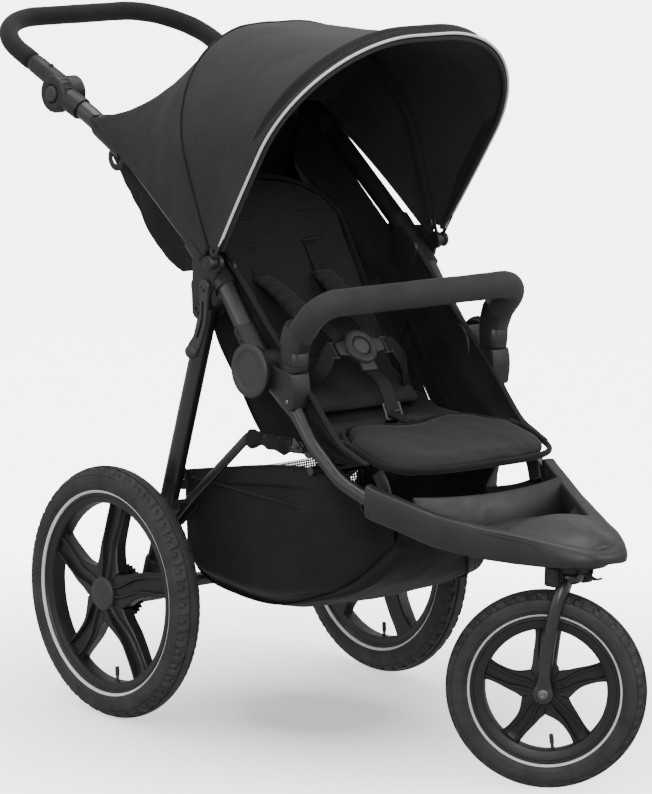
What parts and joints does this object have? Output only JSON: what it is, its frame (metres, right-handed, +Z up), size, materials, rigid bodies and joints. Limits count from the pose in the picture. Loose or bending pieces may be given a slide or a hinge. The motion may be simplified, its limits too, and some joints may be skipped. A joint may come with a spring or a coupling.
{
  "type": "baby stroller",
  "caption": "Three-wheeled baby stroller with a folding tube frame, reclining seat, swivelling front wheel, canopy, bumper bar, basket and tilting handle.",
  "frame": {"origin": "on the ground, under the middle of the whole stroller", "axes": "+Z up, front towards -Y, the rider's left towards +X"},
  "size_m": [0.604, 1.3318, 1.1055],
  "materials": {
    "tyre": "matte rubber with moulded tread",
    "rim": "satin moulded nylon",
    "frame_tube": "black powder coat, satin",
    "foam_grip": "matte closed-cell foam",
    "canopy_fabric": "woven polyester",
    "seat_fabric": "woven polyester",
    "basket_mesh": "open mesh and woven polyester",
    "webbing": "woven strap",
    "steel": "zinc-plated",
    "tray_plastic": "satin moulded, fine grain",
    "plastic": "satin moulded, fine grain"
  },
  "bodies": {
    "chassis": {"front_tube_left": "frame_tube", "front_tube_right": "frame_tube", "footrest_tray": "tray_plastic", "seat_cross_tube": "frame_tube", "hub_housing_left": "plastic", "hub_housing_right": "plastic", "hub_covers": "plastic", "seat_pad": "seat_fabric", "seat_sides": "seat_fabric", "basket": "basket_mesh", "lap_harness": "webbing", "harness_buckle": "plastic", "stem_housing": "plastic"},
    "upper_frame": {"pushbar_left": "frame_tube", "pushbar_right": "frame_tube", "bracket_left": "plastic", "bracket_right": "plastic", "tube_collars": "plastic", "knuckle_housings": "plastic", "rear_apron": "seat_fabric", "canopy_hinges": "plastic"},
    "canopy_middle": {"mid_bow": "frame_tube", "canopy_rear": "canopy_fabric"},
    "canopy_visor": {"visor_bow": "frame_tube", "canopy_front": "canopy_fabric"},
    "fold_latch_left": {"latch_left": "plastic"},
    "fold_latch_right": {"latch_right": "plastic"},
    "handle": {"handle_tube": "frame_tube", "handle_grip": "foam_grip"},
    "knuckle_button_left": {"knuckle_button_left": "plastic"},
    "knuckle_button_right": {"knuckle_button_right": "plastic"},
    "rear_frame": {"rear_leg_left": "frame_tube", "rear_leg_right": "frame_tube", "rear_axle": "steel", "axle_housings": "plastic"},
    "brake_pedal": {"brake_pedal": "plastic"},
    "brake_pin_left": {"brake_pin_left": "steel"},
    "brake_pin_right": {"brake_pin_right": "steel"},
    "brace_left": {"brace_left": "frame_tube"},
    "brace_right": {"brace_right": "frame_tube"},
    "rear_wheel_left": {"rear_tyre_left": "tyre", "rear_rim_left": "rim", "brake_ring_left": "plastic", "rear_bearings_left": "steel"},
    "rear_wheel_right": {"rear_tyre_right": "tyre", "rear_rim_right": "rim", "brake_ring_right": "plastic", "rear_bearings_right": "steel"},
    "front_fork": {"fork": "frame_tube", "front_axle": "steel"},
    "front_wheel": {"front_tyre": "tyre", "front_rim": "rim"},
    "bumper": {"bumper_arms": "plastic", "bumper_bar": "foam_grip"},
    "backrest": {"backrest": "seat_fabric", "shoulder_harness": "webbing"},
    "leg_rest": {"leg_rest": "seat_fabric"},
    "swivel_lever": {"swivel_lever": "steel"},
    "buckle_button": {"buckle_button": "plastic"}
  },
  "joints": [
    {"name": "frame_fold", "type": "hinge", "parent": "chassis", "child": "upper_frame", "pos_m": [0, -0.09225, 0.59], "axis": [-1, 0, 0], "range_deg": [0, 100], "deforming": ["rear_apron"]},
    {"name": "leg_fold", "type": "hinge", "parent": "upper_frame", "child": "rear_frame", "pos_m": [0, 0.04575, 0.665], "axis": [1, 0, 0], "range_deg": [0, 57]},
    {"name": "brace_fold_left", "type": "hinge", "parent": "chassis", "child": "brace_left", "pos_m": [0, -0.18625, 0.484], "axis": [-1, 0, 0], "range_deg": [0, 68]},
    {"name": "brace_fold_right", "type": "hinge", "parent": "chassis", "child": "brace_right", "pos_m": [0, -0.18625, 0.484], "axis": [-1, 0, 0], "range_deg": [0, 68]},
    {"name": "canopy_fold", "type": "hinge", "parent": "canopy_middle", "child": "canopy_visor", "pos_m": [0, 0.00675, 0.742], "axis": [-1, 0, 0], "range_deg": [0, 36], "deforming": ["canopy_front", "canopy_rear"]},
    {"name": "canopy_middle_fold", "type": "hinge", "parent": "upper_frame", "child": "canopy_middle", "pos_m": [0, 0.00675, 0.742], "axis": [-1, 0, 0], "range_deg": [0, 22]},
    {"name": "latch_pull_left", "type": "hinge", "parent": "upper_frame", "child": "fold_latch_left", "pos_m": [0, 0.02575, 0.7], "axis": [1, 0, 0], "range_deg": [0, 35], "stiffness_Nm_per_rad": 0.5, "springref_deg": -17.19},
    {"name": "latch_pull_right", "type": "hinge", "parent": "upper_frame", "child": "fold_latch_right", "pos_m": [0, 0.02575, 0.7], "axis": [1, 0, 0], "range_deg": [0, 35], "stiffness_Nm_per_rad": 0.5, "springref_deg": -17.19},
    {"name": "handle_tilt", "type": "hinge", "parent": "upper_frame", "child": "handle", "pos_m": [0, 0.41375, 0.958], "axis": [1, 0, 0], "range_deg": [-45, 45]},
    {"name": "knuckle_press_left", "type": "slide", "parent": "upper_frame", "child": "knuckle_button_left", "axis": [-1, 0, 0], "range_m": [0, 0.003], "stiffness_N_per_m": 400, "springref_m": -0.002},
    {"name": "knuckle_press_right", "type": "slide", "parent": "upper_frame", "child": "knuckle_button_right", "axis": [1, 0, 0], "range_m": [0, 0.003], "stiffness_N_per_m": 400, "springref_m": -0.002},
    {"name": "rear_spin_left", "type": "hinge", "parent": "rear_frame", "child": "rear_wheel_left", "pos_m": [0, 0.17575, 0.2], "axis": [1, 0, 0], "continuous": true},
    {"name": "rear_spin_right", "type": "hinge", "parent": "rear_frame", "child": "rear_wheel_right", "pos_m": [0, 0.17575, 0.2], "axis": [1, 0, 0], "continuous": true},
    {"name": "brake_press", "type": "hinge", "parent": "rear_frame", "child": "brake_pedal", "pos_m": [0, 0.17575, 0.2], "axis": [-1, 0, 0], "range_deg": [0, 20]},
    {"name": "brake_pin_slide_left", "type": "slide", "parent": "rear_frame", "child": "brake_pin_left", "axis": [1, 0, 0], "range_m": [0, 0.0072]},
    {"name": "brake_pin_slide_right", "type": "slide", "parent": "rear_frame", "child": "brake_pin_right", "axis": [-1, 0, 0], "range_m": [0, 0.0072]},
    {"name": "front_swivel", "type": "hinge", "parent": "chassis", "child": "front_fork", "pos_m": [0, -0.56425, 0.33], "axis": [0, 0, 1], "continuous": true},
    {"name": "front_spin", "type": "hinge", "parent": "front_fork", "child": "front_wheel", "pos_m": [-0.01735, -0.54357, 0.153], "axis": [0.766, 0.6428, 0], "continuous": true},
    {"name": "swivel_lock", "type": "hinge", "parent": "chassis", "child": "swivel_lever", "pos_m": [0, -0.60025, 0.344], "axis": [1, 0, 0], "range_deg": [0, 25]},
    {"name": "bumper_lift", "type": "slide", "parent": "chassis", "child": "bumper", "axis": [0, 0, 1], "range_m": [0, 0.06]},
    {"name": "backrest_recline", "type": "hinge", "parent": "chassis", "child": "backrest", "pos_m": [0, -0.04625, 0.462], "axis": [-1, 0, 0], "range_deg": [0, 35]},
    {"name": "leg_rest_drop", "type": "hinge", "parent": "chassis", "child": "leg_rest", "pos_m": [0, -0.22925, 0.469], "axis": [1, 0, 0], "range_deg": [0, 45]},
    {"name": "buckle_press", "type": "slide", "parent": "chassis", "child": "buckle_button", "axis": [0, 0.7547, -0.6561], "range_m": [0, 0.003], "stiffness_N_per_m": 300, "springref_m": -0.002}
  ],
  "couplings": [
    {"joint": "leg_fold", "follows": "frame_fold", "ratio": 0.569},
    {"joint": "brace_fold_left", "follows": "frame_fold", "ratio": 0.674},
    {"joint": "brace_fold_right", "follows": "frame_fold", "ratio": 0.674},
    {"joint": "canopy_middle_fold", "follows": "canopy_fold", "ratio": 0.611},
    {"joint": "brake_pin_slide_left", "follows": "brake_press", "m_per_rad": 0.02},
    {"joint": "brake_pin_slide_right", "follows": "brake_press", "m_per_rad": 0.02}
  ]
}
